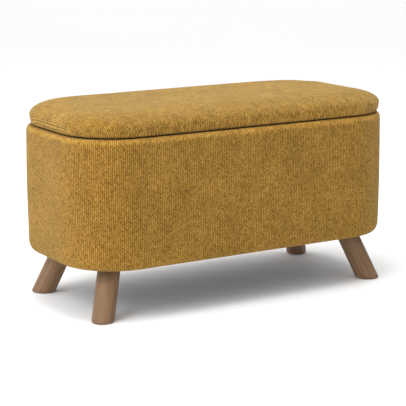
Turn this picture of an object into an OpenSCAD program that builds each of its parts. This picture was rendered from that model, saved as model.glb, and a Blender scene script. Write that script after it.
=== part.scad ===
// Storage ottoman: an upholstered oblong box with rounded ends on four splayed round legs,
// with a padded lid hinged along the rear and two slotted stays that stop it when open.
// Millimetres. +Z is up, +X runs along the length, the front is -Y, the floor is z = 0.

/* [Box] */
// Overall length
length = 800; // [640:10:1200]
// Overall depth
depth = 380; // [340:5:500]
// Plan radius of the four corners, measured on the fabric
corner_r = 130; // [100:5:160]
// Height of the underside of the box above the floor
leg_h = 110; // [60:5:200]
// Height of the box, underside to top edge
box_h = 272; // [240:2:360]
// Thickness of the side panels
panel_t = 12; // [9:1:18]
// Thickness of the base board
base_t = 15; // [9:1:18]
// Width of the top rim
rim_w = 30; // [24:1:40]
// Thickness of the top rim
rim_t = 18; // [15:1:22]

/* [Upholstery] */
// Thickness of the woven cover
fabric_t = 1.5; // [1:0.1:2.5]
// Thickness of the wadding round the box
wadding_t = 10; // [5:1:15]
// Thickness of the lining and of the cloth under the box
lining_t = 0.8; // [0.4:0.1:1.5]

/* [Lid] */
// How far the lid stands inside the outline of the box
lid_inset = 5.5; // [0:0.5:15]
// Gap between the box and the lid
lid_gap = 3.8; // [3.4:0.1:6]
// Height of the lid from its underside to the crown
lid_h = 56; // [40:1:90]
// Height of the rounded upper part of the lid
crown_h = 36; // [20:1:60]
// Thickness of the lid board
lid_board_t = 12; // [9:1:18]

/* [Legs] */
// Diameter of a leg
leg_d = 48; // [30:1:60]
// Distance from the end of the box to the middle of a foot
foot_in_x = 56; // [30:1:100]
// Distance from the front of the box to the middle of a foot
foot_in_y = 47; // [30:1:80]
// How far a foot stands out from the top of its leg, along X and along Y
splay = 38; // [0:1:60]

/* [Hardware] */
// Distance of each hinge from the middle of the box
hinge_x = 200; // [100:10:260]
// Length of a hinge
hinge_l = 64; // [40:2:100]
// Outer diameter of the hinge knuckles
knuckle_d = 7; // [6:0.5:9]
// Distance from the hinge axis to each stay's pivots
stay_r = 140; // [100:5:150]
// Angle between the two pivots of a stay, seen from the hinge axis, with the lid closed
stay_lead = 9; // [8:0.5:14]
// Angle at which the stays stop the lid
open_angle = 95; // [80:1:100]
// Width of a stay arm
arm_w = 17; // [14:1:22]
// Thickness of a stay arm
arm_t = 2.5; // [2:0.5:4]

/* [Output] */
// Sub-part to draw

/* [Hidden] */
$fn = 64;
// distances called u run outward from the centres of the plan corners
mid_x = length / 2 - corner_r;
mid_y = depth / 2 - corner_r;
wood_u = corner_r - fabric_t - wadding_t;
inner_u = wood_u - panel_t;
rim_u = wood_u - rim_w;
return_u = rim_u - fabric_t;
post_t = rim_w - panel_t;
edge_r = wadding_t;
// heights
box_top = leg_h + box_h;
cover_z = leg_h + lining_t;
base_z = cover_z + fabric_t;
floor_z = base_z + base_t;
wood_top = box_top - fabric_t;
rim_z = wood_top - rim_t;
glide_t = 2;
leg_top = base_z - lining_t;
tuck_in = 45;
tuck_u = corner_r - tuck_in;
// lid
lid_z = box_top + lid_gap;
lid_u = corner_r - lid_inset;
board_z = lid_z + fabric_t;
board_u = lid_u - 12.5;
lid_tuck_u = 50;
backing_u = 97;
side_z = lid_z + lid_h - crown_h;
foot_round = 11;
crown_power = 2.6;
crown_root = 0.62;
crown_steps = 20;
round_steps = 8;
// legs
foot_x = length / 2 - foot_in_x;
foot_y = depth / 2 - foot_in_y;
head_x = foot_x - splay;
head_y = foot_y - splay;
tilt = atan(splay * sqrt(2) / leg_h);
bolt_d = 8;
bolt_in_leg = 32;
nut_flange_d = 22;
nut_flange_t = 1.2;
nut_barrel_d = 10;
nut_barrel_h = 10;
glide_d = 36;
// hinge
hinge_y = depth / 2 - 4;
hinge_z = box_top + lid_gap / 2;
leaf_t = 1.5;
leaf_y = 158;
leaf_root_y = hinge_y - 2.5;
knuckle_gap = 0.4;
mid_knuckle = 22;
pin_d = 3.6;
pin_head_t = 1.2;
leaf_screw_y = 166;
leaf_screw_dx = 22;
screw_d = 3.6;
screw_head_d = 7;
body_screw_l = 16;
lid_screw_l = 13;
// stays
pivot_drop = 11.4;
near_a = asin(pivot_drop / stay_r);
far_a = near_a + stay_lead;
arm_x = mid_x + return_u - 10;
arm_lean = near_a + stay_lead / 2;
closed_d = 2 * stay_r * sin(stay_lead / 2);
open_d = 2 * stay_r * sin((stay_lead + open_angle) / 2);
stud_d = 6.4;
stud_play = 0.3;
rivet_d = 5;
bracket_t = 2;
flange_t = 1.6;
flange_l = 27;
flange_w = 34;
plate_x = mid_x + rim_u - lining_t;
boss_d = 12;
wall_screw_l = 16;
wall_screw_at = [[-11, -26], [-11, 3], [1, -27]];
// fixings
joint_x = 240;
rail_joint_x = 255;
post_w = 35;
stay_post_y = [15, 60];
assembly_screw_d = 4;
assembly_screw_l = 45;
rim_screw_l = 40;
fix_u = wood_u - panel_t / 2;
long_side_x = [-268, -150, -50, 50, 150, 268];
end_side_y = [-40, 40];
bumper_d = 10;
bumper_t = 3.3;
bumper_u = 105;

oak = [0.66, 0.58, 0.50];
ply = [0.80, 0.68, 0.50];
mdf = [0.68, 0.55, 0.40];
mustard = [0.74, 0.56, 0.16];
foam = [0.93, 0.91, 0.82];
black = [0.10, 0.10, 0.11];
steel = [0.62, 0.63, 0.65];
zinc = [0.72, 0.72, 0.70];

// ---- plan outlines and sweeps ----

// the rounded plan outline, u outside the corner centres
module outline(u) {
  square([2 * (mid_x + u), 2 * mid_y], center = true);
  square([2 * mid_x, 2 * (mid_y + u)], center = true);
  for (sx = [-1, 1], sy = [-1, 1]) translate([sx * mid_x, sy * mid_y]) circle(r = u);
}

module slab(u, z0, z1) {
  translate([0, 0, z0]) linear_extrude(height = z1 - z0) outline(u);
}

module band(u_in, u_out, z0, z1) {
  translate([0, 0, z0]) linear_extrude(height = z1 - z0) difference() {
    outline(u_out);
    outline(u_in);
  }
}

// carries a profile round the plan: its x is u, its y is the height
module around() {
  for (k = [0 : 3]) {
    c = k % 2 == 0 ? mid_x : mid_y;
    d = k % 2 == 0 ? mid_y : mid_x;
    rotate([0, 0, 90 * k]) translate([c, d, 0]) rotate_extrude(angle = 90) children();
    rotate([0, 0, 90 * k]) translate([c, d, 0]) rotate([90, 0, 0]) {
      linear_extrude(height = 2 * d) children();
    }
  }
}

// places children at both ends, mirrored
module both_ends() {
  children();
  mirror([1, 0, 0]) children();
}

module at_legs() {
  for (sx = [-1, 1], sy = [-1, 1]) translate([sx * head_x, sy * head_y, 0]) children();
}

module at_hinges() {
  for (sx = [-1, 1]) translate([sx * hinge_x, 0, 0]) children();
}

// countersunk screw along -Z from z = 0
module wood_screw(l, grow = 0) {
  head_h = 1.6;
  translate([0, 0, -l]) cylinder(d = screw_d + grow, h = l);
  translate([0, 0, -head_h]) cylinder(d1 = screw_d, d2 = screw_head_d, h = head_h);
}

module long_screw(l, grow = 0) {
  cylinder(d = assembly_screw_d + grow, h = l);
  cylinder(d1 = assembly_screw_d * 2 + grow, d2 = assembly_screw_d + grow, h = 3);
}

// ---- wooden box ----

module at_panel_fixings() {
  for (x = long_side_x, sy = [-1, 1]) translate([x, sy * (mid_y + fix_u), 0]) children();
  for (sx = [-1, 1], y = end_side_y) translate([sx * (mid_x + fix_u), y, 0]) children();
}

module base_screw_set(grow = 0) {
  at_panel_fixings() translate([0, 0, base_z]) long_screw(assembly_screw_l, grow);
}

module rim_screw_set(grow = 0) {
  at_panel_fixings() translate([0, 0, wood_top]) rotate([180, 0, 0]) {
    long_screw(rim_screw_l, grow);
  }
}

module base_board() {
  color(ply) difference() {
    slab(wood_u, base_z, floor_z);
    at_legs() translate([0, 0, base_z - 1]) cylinder(d = nut_barrel_d, h = base_t + 2);
    at_legs() translate([0, 0, floor_z - nut_flange_t]) cylinder(d = nut_flange_d, h = 5);
    base_screw_set(0);
  }
}

module wall(x0, x1) {
  difference() {
    intersection() {
      band(inner_u, wood_u, floor_z, rim_z);
      translate([x0, -depth, 0]) cube([x1 - x0, 2 * depth, box_top]);
    }
    children();
  }
}

module long_panel(sy) {
  color(mdf) intersection() {
    wall(-joint_x, joint_x) {
      base_screw_set();
      rim_screw_set();
    }
    translate([-length, sy > 0 ? 0 : -depth, 0]) cube([2 * length, depth, box_top]);
  }
}

module end_panel() {
  color(mdf) wall(joint_x, length) {
    base_screw_set();
    rim_screw_set();
  }
}

module front_panel() { long_panel(-1); }
module rear_panel() { long_panel(1); }
module right_end_panel() { end_panel(); }
module left_end_panel() { mirror([1, 0, 0]) end_panel(); }

// upright pieces on the inner face of the wall: grow is what covers them
module batten_plan(grow = 0) {
  for (sx = [-1, 1], sy = [-1, 1]) {
    y0 = mid_y + inner_u - post_t - grow;
    translate([sx * joint_x - post_w / 2 - grow, sy > 0 ? y0 : -y0 - post_t - grow]) {
      square([post_w + 2 * grow, post_t + grow]);
    }
  }
}

module stay_post_plan(grow = 0) {
  both_ends() translate([mid_x + rim_u - grow, stay_post_y[0] - grow]) {
    square([post_t + grow, stay_post_y[1] - stay_post_y[0] + 2 * grow]);
  }
}

module joint_battens() {
  color(ply) translate([0, 0, floor_z]) linear_extrude(height = rim_z - floor_z) {
    batten_plan();
  }
}

module stay_posts() {
  color(ply) difference() {
    translate([0, 0, floor_z]) linear_extrude(height = rim_z - floor_z) stay_post_plan();
    wall_screw_set();
  }
}

// the part of the rim between x0 and x1, on the side sy or on both
module rail(x0, x1, sides) {
  color(ply) difference() {
    band(rim_u, wood_u, rim_z, wood_top);
    for (x = [x0 - 2 * length, x1]) translate([x, -depth, 0]) {
      cube([2 * length, 2 * depth, length]);
    }
    if (sides != 0) translate([-length, sides > 0 ? -depth : 0, 0]) {
      cube([2 * length, depth, length]);
    }
    rim_screw_set();
    box_hinge_screw_set();
  }
}

module front_rail() { rail(-rail_joint_x, rail_joint_x, -1); }
module rear_rail() { rail(-rail_joint_x, rail_joint_x, 1); }
module right_end_rail() { rail(rail_joint_x, length, 0); }
module left_end_rail() { rail(-length, -rail_joint_x, 0); }

module base_screws() { color(zinc) base_screw_set(); }
module rim_screws() { color(zinc) rim_screw_set(); }

// ---- upholstery of the box ----

// section of the padded wall, to u0 inward, over a skin of t
module wall_section(u0, t) {
  translate([u0, base_z - t]) square([wood_u - u0, wood_top - base_z + 2 * t]);
  translate([wood_u, base_z + edge_r]) {
    square([wadding_t + t, wood_top - base_z - 2 * edge_r]);
  }
  for (z = [base_z + edge_r, wood_top - edge_r]) translate([wood_u, z]) circle(r = edge_r + t);
}

module body_foam() {
  color(foam) around() difference() {
    wall_section(wood_u - edge_r - 5, 0);
    translate([0, base_z - 5]) square([wood_u, box_h + 10]);
  }
}

module cover_section() {
  difference() {
    wall_section(tuck_u, fabric_t);
    wall_section(tuck_u - 1, 0);
    translate([tuck_u - 1, rim_z]) square([return_u - tuck_u + 1, box_h]);
  }
  translate([return_u, rim_z]) square([fabric_t, box_top - rim_z]);
}

module body_cover() {
  color(mustard) difference() {
    around() cover_section();
    box_hinge_screw_set();
  }
}

module lining_plan(u, grow) {
  difference() {
    outline(u);
    batten_plan(grow);
    stay_post_plan(grow);
  }
}

module inner_lining() {
  color(black) difference() {
    translate([0, 0, floor_z]) linear_extrude(height = rim_z - floor_z) {
      lining_plan(inner_u, 0);
    }
    translate([0, 0, floor_z + lining_t]) linear_extrude(height = box_h) {
      lining_plan(inner_u - lining_t, lining_t);
    }
    wall_screw_set();
  }
}

module dust_cover() {
  color(black) difference() {
    union() {
      slab(tuck_u, leg_top, base_z);
      band(tuck_u - lining_t, tuck_u, leg_h, base_z);
      band(tuck_u - lining_t, tuck_u + 27, leg_h, cover_z);
    }
    at_legs() translate([0, 0, leg_h - 1]) cylinder(d = nut_barrel_d, h = 5);
  }
}

// ---- legs ----

module leg(sx, sy) {
  color(oak) difference() {
    intersection() {
      translate([sx * head_x, sy * head_y, leg_h]) {
        rotate([0, -tilt, atan2(sy, sx)]) cylinder(d = leg_d, h = 6 * leg_h, center = true);
      }
      translate([-length, -depth, glide_t]) cube([2 * length, 2 * depth, leg_top - glide_t]);
    }
    translate([sx * head_x, sy * head_y, leg_top - bolt_in_leg]) {
      cylinder(d = bolt_d, h = leg_h);
    }
  }
}

module leg_front_left() { leg(-1, -1); }
module leg_front_right() { leg(1, -1); }
module leg_rear_left() { leg(-1, 1); }
module leg_rear_right() { leg(1, 1); }

module leg_bolts() {
  color(zinc) at_legs() translate([0, 0, leg_top - bolt_in_leg]) {
    cylinder(d = bolt_d, h = bolt_in_leg + lining_t + base_t - 1);
  }
}

module tee_nuts() {
  color(zinc) at_legs() difference() {
    union() {
      translate([0, 0, floor_z - nut_flange_t]) cylinder(d = nut_flange_d, h = nut_flange_t);
      translate([0, 0, floor_z - nut_flange_t - nut_barrel_h]) {
        cylinder(d = nut_barrel_d, h = nut_barrel_h);
      }
    }
    translate([0, 0, base_z - 1]) cylinder(d = bolt_d, h = base_t + 2);
  }
}

module leg_glides() {
  color(black) for (sx = [-1, 1], sy = [-1, 1]) {
    translate([sx * foot_x, sy * foot_y, 0]) cylinder(d = glide_d, h = glide_t);
  }
}

// ---- lid ----

// section of the lid cushion from u = 0, inside a skin of t
function crown_z(u, t) =
  side_z + (crown_h - t) * pow(1 - pow(u / (lid_u - t), crown_power), crown_root);

function lid_section(t) = [
  [0, lid_z + t],
  for (i = [0 : round_steps])
    let (a = 90 * i / round_steps)
      [lid_u - foot_round + (foot_round - t) * sin(a), side_z - (side_z - lid_z - t) * cos(a)],
  for (i = [1 : crown_steps])
    let (u = (lid_u - t) * cos(90 * i / crown_steps))
      [max(u, 0), crown_z(max(u, 0), t)]
];

module cushion(t) {
  around() polygon(lid_section(t));
  translate([-mid_x, -mid_y, lid_z + t]) cube([2 * mid_x, 2 * mid_y, lid_h - 2 * t]);
}

module lid_board() {
  color(ply) difference() {
    slab(board_u, board_z, board_z + lid_board_t);
    lid_hinge_screw_set();
    lid_bracket_screw_set();
  }
}

module lid_foam() {
  color(foam) difference() {
    cushion(fabric_t);
    slab(board_u, board_z - 1, board_z + lid_board_t);
  }
}

module lid_cover() {
  color(mustard) difference() {
    cushion(0);
    cushion(fabric_t);
    slab(lid_tuck_u, lid_z - 1, board_z + 5);
    lid_hinge_screw_set();
    lid_bracket_screw_set();
  }
}

module lid_backing() {
  color(black) difference() {
    union() {
      band(lid_tuck_u, backing_u, lid_z - lining_t, lid_z);
      slab(lid_tuck_u, board_z - lining_t, board_z);
      band(lid_tuck_u - lining_t, lid_tuck_u, lid_z - lining_t, board_z);
    }
    both_ends() lid_flange(1);
  }
}

module lid_bumpers() {
  color(black) {
    for (sx = [-1, 1]) translate([sx * hinge_x, -mid_y - bumper_u, box_top]) {
      cylinder(d = bumper_d, h = bumper_t);
    }
    both_ends() translate([mid_x + bumper_u, 0, box_top]) cylinder(d = bumper_d, h = bumper_t);
  }
}

// ---- hinges, about x = 0 ----

module knuckle(x0, l) {
  translate([x0, hinge_y, hinge_z]) rotate([0, 90, 0]) cylinder(d = knuckle_d, h = l);
}

module box_leaf() {
  side_l = (hinge_l - mid_knuckle) / 2;
  color(steel) difference() {
    union() {
      translate([-hinge_l / 2, leaf_y, box_top]) {
        cube([hinge_l, leaf_root_y - leaf_y, leaf_t]);
      }
      knuckle(-hinge_l / 2, side_l);
      knuckle(hinge_l / 2 - side_l, side_l);
    }
    translate([-mid_knuckle / 2, hinge_y - knuckle_d / 2 - knuckle_gap, box_top - 5]) {
      cube([mid_knuckle, knuckle_d, 15]);
    }
    pin_bore(pin_d);
    leaf_screws(box_top + leaf_t, body_screw_l, 0);
  }
}

module lid_leaf() {
  mid_l = mid_knuckle - 2 * knuckle_gap;
  color(steel) difference() {
    union() {
      translate([-hinge_l / 2, leaf_y, lid_z - leaf_t]) {
        cube([hinge_l, hinge_y - knuckle_d / 2 - knuckle_gap - leaf_y, leaf_t]);
      }
      translate([-mid_l / 2, leaf_y, lid_z - leaf_t]) {
        cube([mid_l, leaf_root_y - leaf_y, leaf_t]);
      }
      knuckle(-mid_l / 2, mid_l);
    }
    pin_bore(pin_d + 0.3);
    mirror_z(lid_z - leaf_t) leaf_screws(0, lid_screw_l, 0);
  }
}

module pin_bore(d) {
  translate([-hinge_l, hinge_y, hinge_z]) rotate([0, 90, 0]) cylinder(d = d, h = 2 * hinge_l);
}

module mirror_z(z) {
  translate([0, 0, z]) mirror([0, 0, 1]) children();
}

module leaf_screws(z, l, grow) {
  for (dx = [-leaf_screw_dx, 0, leaf_screw_dx]) translate([dx, leaf_screw_y, z]) {
    wood_screw(l, grow);
  }
}

module box_hinge_screw_set() { at_hinges() leaf_screws(box_top + leaf_t, body_screw_l, 0); }
module lid_hinge_screw_set() {
  at_hinges() mirror_z(lid_z - leaf_t) leaf_screws(0, lid_screw_l, 0);
}

module left_hinge_box_leaf() { translate([-hinge_x, 0, 0]) box_leaf(); }
module right_hinge_box_leaf() { translate([hinge_x, 0, 0]) box_leaf(); }
module left_hinge_lid_leaf() { translate([-hinge_x, 0, 0]) lid_leaf(); }
module right_hinge_lid_leaf() { translate([hinge_x, 0, 0]) lid_leaf(); }
module box_hinge_screws() { color(zinc) box_hinge_screw_set(); }
module lid_hinge_screws() { color(zinc) lid_hinge_screw_set(); }

module hinge_pins() {
  color(zinc) at_hinges() translate([-hinge_l / 2 - pin_head_t, hinge_y, hinge_z]) {
    rotate([0, 90, 0]) {
      cylinder(d = pin_d, h = hinge_l + 2 * pin_head_t);
      cylinder(d = pin_d + 2, h = pin_head_t);
      translate([0, 0, hinge_l + pin_head_t]) cylinder(d = pin_d + 2, h = pin_head_t);
    }
  }
}

// ---- slotted stays, drawn for the right-hand end ----

// a point at distance stay_r from the hinge axis, a degrees below the level
module at_stay(a) {
  translate([arm_x, hinge_y - stay_r * cos(a), hinge_z - stay_r * sin(a)]) children();
}

// a disc whose axis is X, from x0 to x1 measured from the middle of the arm
module disc(d, x0, x1) {
  translate([x0, 0, 0]) rotate([0, 90, 0]) cylinder(d = d, h = x1 - x0);
}

module bar(w, l0, l1) {
  for (l = [l0, l1]) translate([0, 0, -l]) disc(w, -arm_t / 2, arm_t / 2);
  translate([-arm_t / 2, -w / 2, -l1]) cube([arm_t, w, l1 - l0]);
}

module stay_arm() {
  color(steel) at_stay(near_a) rotate([arm_lean, 0, 0]) difference() {
    bar(arm_w, 0, open_d + stud_play);
    scale([2, 1, 1]) {
      bar(stud_d + 2 * stud_play, closed_d - stud_play, open_d + stud_play);
    }
    disc(rivet_d + 0.3, -arm_t, arm_t);
  }
}

module wall_bracket() {
  plate_in = plate_x - bracket_t - arm_x;
  color(steel) difference() {
    at_stay(far_a) {
      translate([plate_in, -17, -33]) cube([bracket_t, 26, 43]);
      disc(boss_d, arm_t / 2 + 0.3, plate_in);
    }
    at_stay(far_a) disc(stud_d, -5, 30);
    wall_screw_set();
  }
}

module wall_screw_set() {
  both_ends() at_stay(far_a) for (p = wall_screw_at) {
    translate([plate_x - bracket_t - arm_x, p[0], p[1]]) rotate([0, -90, 0]) {
      wood_screw(wall_screw_l);
    }
  }
}

module stud() {
  plate_out = plate_x - arm_x;
  at_stay(far_a) {
    disc(stud_d, -arm_t / 2 - 0.3, plate_out);
    disc(stud_d + 5, -arm_t / 2 - 2.1, -arm_t / 2 - 0.3);
  }
}

module lid_plate() {
  inner = arm_t / 2 + 0.4;
  drop = lid_z - flange_t - hinge_z + pivot_drop;
  at_stay(near_a) {
    disc(arm_w, inner, inner + bracket_t);
    translate([inner, -arm_w / 2, 0]) cube([bracket_t, arm_w, drop + flange_t]);
  }
}

module lid_flange(grow = 0) {
  inner = arm_x + arm_t / 2 + 0.4 + bracket_t;
  y0 = hinge_y - stay_r * cos(near_a) - flange_w / 2;
  translate([inner - flange_l - grow, y0 - grow, lid_z - flange_t - grow]) {
    cube([flange_l + 2 * grow, flange_w + 2 * grow, flange_t + grow]);
  }
}

module lid_bracket() {
  color(steel) difference() {
    union() {
      lid_plate();
      lid_flange();
    }
    at_stay(near_a) disc(rivet_d, -5, 10);
    lid_bracket_screw_set();
  }
}

module lid_bracket_screw_set() {
  y0 = hinge_y - stay_r * cos(near_a);
  both_ends() for (dy = [-11, 11]) {
    translate([arm_x - 14, y0 + dy, 0]) mirror_z(lid_z - flange_t) wood_screw(lid_screw_l);
  }
}

module rivet() {
  inner = arm_t / 2 + 0.4 + bracket_t;
  at_stay(near_a) {
    disc(rivet_d, -arm_t / 2 - 1.5, inner + 1.4);
    disc(rivet_d + 4, -arm_t / 2 - 1.5, -arm_t / 2 - 0.2);
    disc(rivet_d + 4, inner, inner + 1.4);
  }
}

module right_stay_arm() { stay_arm(); }
module left_stay_arm() { mirror([1, 0, 0]) stay_arm(); }
module right_wall_bracket() { wall_bracket(); }
module left_wall_bracket() { mirror([1, 0, 0]) wall_bracket(); }
module right_lid_bracket() { lid_bracket(); }
module left_lid_bracket() { mirror([1, 0, 0]) lid_bracket(); }
module stay_studs() { color(zinc) both_ends() stud(); }
module stay_rivets() { color(zinc) both_ends() rivet(); }
module wall_bracket_screws() { color(zinc) wall_screw_set(); }
module lid_bracket_screws() { color(zinc) lid_bracket_screw_set(); }

base_board();
front_panel();
rear_panel();
left_end_panel();
right_end_panel();
joint_battens();
stay_posts();
front_rail();
rear_rail();
left_end_rail();
right_end_rail();
base_screws();
rim_screws();
body_foam();
body_cover();
inner_lining();
dust_cover();
leg_front_left();
leg_front_right();
leg_rear_left();
leg_rear_right();
leg_bolts();
tee_nuts();
leg_glides();
lid_bumpers();
left_hinge_box_leaf();
right_hinge_box_leaf();
hinge_pins();
box_hinge_screws();
left_wall_bracket();
right_wall_bracket();
stay_studs();
wall_bracket_screws();
lid_board();
lid_foam();
lid_cover();
lid_backing();
left_hinge_lid_leaf();
right_hinge_lid_leaf();
lid_hinge_screws();
left_lid_bracket();
right_lid_bracket();
lid_bracket_screws();
stay_rivets();
left_stay_arm();
right_stay_arm();
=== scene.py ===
"""Looks for the storage ottoman: its cloth, oak and steel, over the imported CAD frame."""

import math

import bpy
import numpy as np
from mathutils import Matrix, Vector, noise
from mathutils.geometry import delaunay_2d_cdt


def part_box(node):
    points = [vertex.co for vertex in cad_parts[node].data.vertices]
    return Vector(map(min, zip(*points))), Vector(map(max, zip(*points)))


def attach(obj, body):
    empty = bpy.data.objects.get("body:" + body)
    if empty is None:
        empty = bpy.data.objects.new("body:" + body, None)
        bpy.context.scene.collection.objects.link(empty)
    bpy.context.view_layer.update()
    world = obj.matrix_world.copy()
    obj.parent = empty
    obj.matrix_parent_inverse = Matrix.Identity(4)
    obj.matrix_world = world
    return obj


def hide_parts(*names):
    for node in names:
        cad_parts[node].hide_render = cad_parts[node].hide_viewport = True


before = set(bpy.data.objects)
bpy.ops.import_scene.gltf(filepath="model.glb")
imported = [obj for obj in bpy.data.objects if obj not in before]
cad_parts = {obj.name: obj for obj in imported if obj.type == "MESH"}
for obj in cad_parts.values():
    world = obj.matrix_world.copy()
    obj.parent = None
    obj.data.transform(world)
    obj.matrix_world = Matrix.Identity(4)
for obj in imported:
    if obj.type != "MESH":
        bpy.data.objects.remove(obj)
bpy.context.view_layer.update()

# ---- sizes; u is the distance outward from the rectangle through the four corner centres ----

MM = 0.001
BODY_LO, BODY_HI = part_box("body_cover")
LID_LO, LID_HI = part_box("lid_cover")
BOARD_LO, BOARD_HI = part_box("lid_board")
LINING_LO, LINING_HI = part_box("inner_lining")
RAIL_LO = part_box("rear_rail")[0]
CORNER_R = 130 * MM
MID_X = BODY_HI.x - CORNER_R
MID_Y = BODY_HI.y - CORNER_R
WOOD_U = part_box("base_board")[1].y - MID_Y  # outside of the panels
RIM_U = RAIL_LO.y - MID_Y  # inside of the top rails
BOARD_U = BOARD_HI.y - MID_Y
LID_U = LID_HI.y - MID_Y
LINING_U = LINING_HI.y - MID_Y

FABRIC = 1.5 * MM  # thickness of the woven covers
LINING_T = 0.8 * MM
BACKING_T = 0.5 * MM
COVER_END_U = CORNER_R - 45 * MM  # the box cover's edge underneath
LID_COVER_END_U = 50 * MM  # the lid cover's edge underneath

RIB = 4.3 * MM  # from one rib of the chenille to the next
WEFT = 3.8 * MM  # from one weft yarn to the next

# The lid: its side stops at SIDE_Z, the top rises CROWN above it, and a rounded foot turns under.
CROWN = 32.0 * MM
SIDE_Z = LID_HI.z - 36 * MM
FOOT_U = 9.5 * MM
FOOT_Z = 14 * MM
FLAT_TOP_IN = 34 * MM  # the grid on top ends this far inside the lid's edge

# The legs, as in part.scad: where their axes meet the box, and their lean in X and in Y.
LEG_RADIUS = 24 * MM
LEG_HEAD = Vector((306 * MM, 105 * MM, 110 * MM))
LEG_SPLAY = 38.0 / 110.0

STAPLE_PITCH = 38 * MM
STAPLE_IN = 7 * MM  # from a stapled cloth's edge to its staples

# The photograph's camera, in degrees and metres, with its lens in millimetres on a 36 mm sensor.
VIEW_AZ, VIEW_EL, VIEW_ROLL = -31.4, 11.86, -0.15
VIEW_DISTANCE = 3.3355
VIEW_AT = Vector((-0.0129, -0.0003, 0.1894))
LENS = 132.03


# ---- plan and profile helpers ----


def plan_columns(count, u_ref):
    """Centres, outward directions and running lengths of columns evenly spaced round the plan at u_ref.

    They run anticlockwise from the middle of the rear. The sides start at the middle of the right end.
    """
    quarter = math.pi / 2 * u_ref
    sides = [
        ((MID_X, 0.0), (0, 1), MID_Y),
        ((MID_X, MID_Y), (-1, 0), 2 * MID_X),
        ((-MID_X, MID_Y), (0, -1), 2 * MID_Y),
        ((-MID_X, -MID_Y), (1, 0), 2 * MID_X),
        ((MID_X, -MID_Y), (0, 1), math.inf),
    ]
    total = 4 * (MID_X + MID_Y) + 4 * quarter
    rear_middle = MID_Y + quarter + MID_X
    centres, normals, runs = [], [], []
    for i in range(count):
        run = total * i / count
        s = (run + rear_middle) % total
        for k, ((x, y), (dx, dy), length) in enumerate(sides):
            if s < length:
                centres.append((x + dx * s, y + dy * s))
                normals.append((dy, -dx))
                break
            s -= length
            if s < quarter:
                a = k * math.pi / 2 + s / u_ref
                centres.append(sides[k + 1][0])
                normals.append((math.cos(a), math.sin(a)))
                break
            s -= quarter
        runs.append(run)
    return np.array(centres), np.array(normals), np.array(runs), total


def plan_split(xy):
    """For points in plan: the nearest point of the inner rectangle, the outward direction and u."""
    centre = np.stack([np.clip(xy[:, 0], -MID_X, MID_X), np.clip(xy[:, 1], -MID_Y, MID_Y)], axis=1)
    away = xy - centre
    u = np.linalg.norm(away, axis=1)
    direction = away / np.maximum(u, 1e-9)[:, None]
    return centre, direction, u


def columns_for(u, spacing):
    """How many columns go round the plan at u, about spacing apart."""
    return int((4 * (MID_X + MID_Y) + 2 * math.pi * u) / spacing)


def arc(u0, z0, ru, rz, a0, a1, steps):
    """Points of an ellipse arc in a profile, angles in degrees from outward, positive up."""
    out = []
    for i in range(steps + 1):
        a = math.radians(a0 + (a1 - a0) * i / steps)
        out.append((u0 + ru * math.cos(a), z0 + rz * math.sin(a)))
    return out


def line(a, b, steps):
    """Points from a to b, a left out."""
    du, dz = b[0] - a[0], b[1] - a[1]
    return [(a[0] + du * i / steps, a[1] + dz * i / steps) for i in range(1, steps + 1)]


def inset(profile, t):
    """The profile moved sideways by t, to its left."""
    p = np.array(profile)
    d = np.gradient(p, axis=0)
    d /= np.maximum(np.linalg.norm(d, axis=1), 1e-9)[:, None]
    n = np.stack([-d[:, 1], d[:, 0]], axis=1)
    return [tuple(q) for q in p + n * t]


def eased(x, low, high):
    """0 below low, 1 above high, and a smooth step between."""
    t = np.clip((x - low) / (high - low), 0, 1)
    return t * t * (3 - 2 * t)


# ---- mesh helpers ----


def linked(name, data):
    obj = bpy.data.objects.new(name, data)
    bpy.context.scene.collection.objects.link(obj)
    return obj


def make_object(name, verts, faces):
    mesh = bpy.data.meshes.new(name)
    mesh.from_pydata([tuple(v) for v in verts], [], faces)
    mesh.validate()
    mesh.update()
    mesh.shade_smooth()
    return linked(name, mesh)


def net_faces(rows, columns, close_rows=False, close_columns=False, first=0):
    """Quads between the neighbours in a net of vertices, closed on itself where asked."""
    faces = []
    for i in range(rows if close_rows else rows - 1):
        here, there = first + i * columns, first + (i + 1) % rows * columns
        for k in range(columns if close_columns else columns - 1):
            m = (k + 1) % columns
            faces.append((here + k, here + m, there + m, there + k))
    return faces


def read_vectors(values, key):
    """The three-number values of a mesh collection as an array."""
    out = np.zeros(len(values) * 3)
    values.foreach_get(key, out)
    return out.reshape(-1, 3)


def loop_vertices(mesh):
    loops = np.zeros(len(mesh.loops), np.int64)
    mesh.loops.foreach_get("vertex_index", loops)
    return loops


def set_uv(obj, per_vertex, wrap=None):
    """Writes a cloth map in metres, one value per vertex; wrap closes it round a seam."""
    mesh = obj.data
    layer = mesh.uv_layers.new(name="cloth")
    uv = np.array(per_vertex)[loop_vertices(mesh)]
    if wrap:
        for face in mesh.polygons:
            piece = uv[face.loop_start : face.loop_start + face.loop_total, 0]
            if piece.max() - piece.min() > wrap / 2:
                piece[piece < wrap / 2] += wrap
    layer.data.foreach_set("uv", uv.astype(np.float32).ravel())


def swept(name, profile, columns, shift):
    """A closed profile carried round the plan. shift(points, run, u) moves its points."""
    centres, normals, runs, total = plan_columns(columns, CORNER_R)
    prof = np.array(profile)
    rows = len(prof)
    lengths = np.concatenate([[0], np.cumsum(np.linalg.norm(np.diff(prof, axis=0), axis=1))])
    xy = centres[:, None, :] + normals[:, None, :] * prof[None, :, 0:1]
    z = np.repeat(prof[None, :, 1:2], columns, axis=0)
    points = np.concatenate([xy, z], axis=2).reshape(-1, 3)
    points = shift(points, np.repeat(runs, rows), np.tile(prof[:, 0], columns))
    obj = make_object(name, points, net_faces(columns, rows, True, True))
    uv = np.stack([np.repeat(runs, rows), np.tile(lengths, columns)], axis=1)
    set_uv(obj, uv, wrap=total)
    return obj


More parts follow.
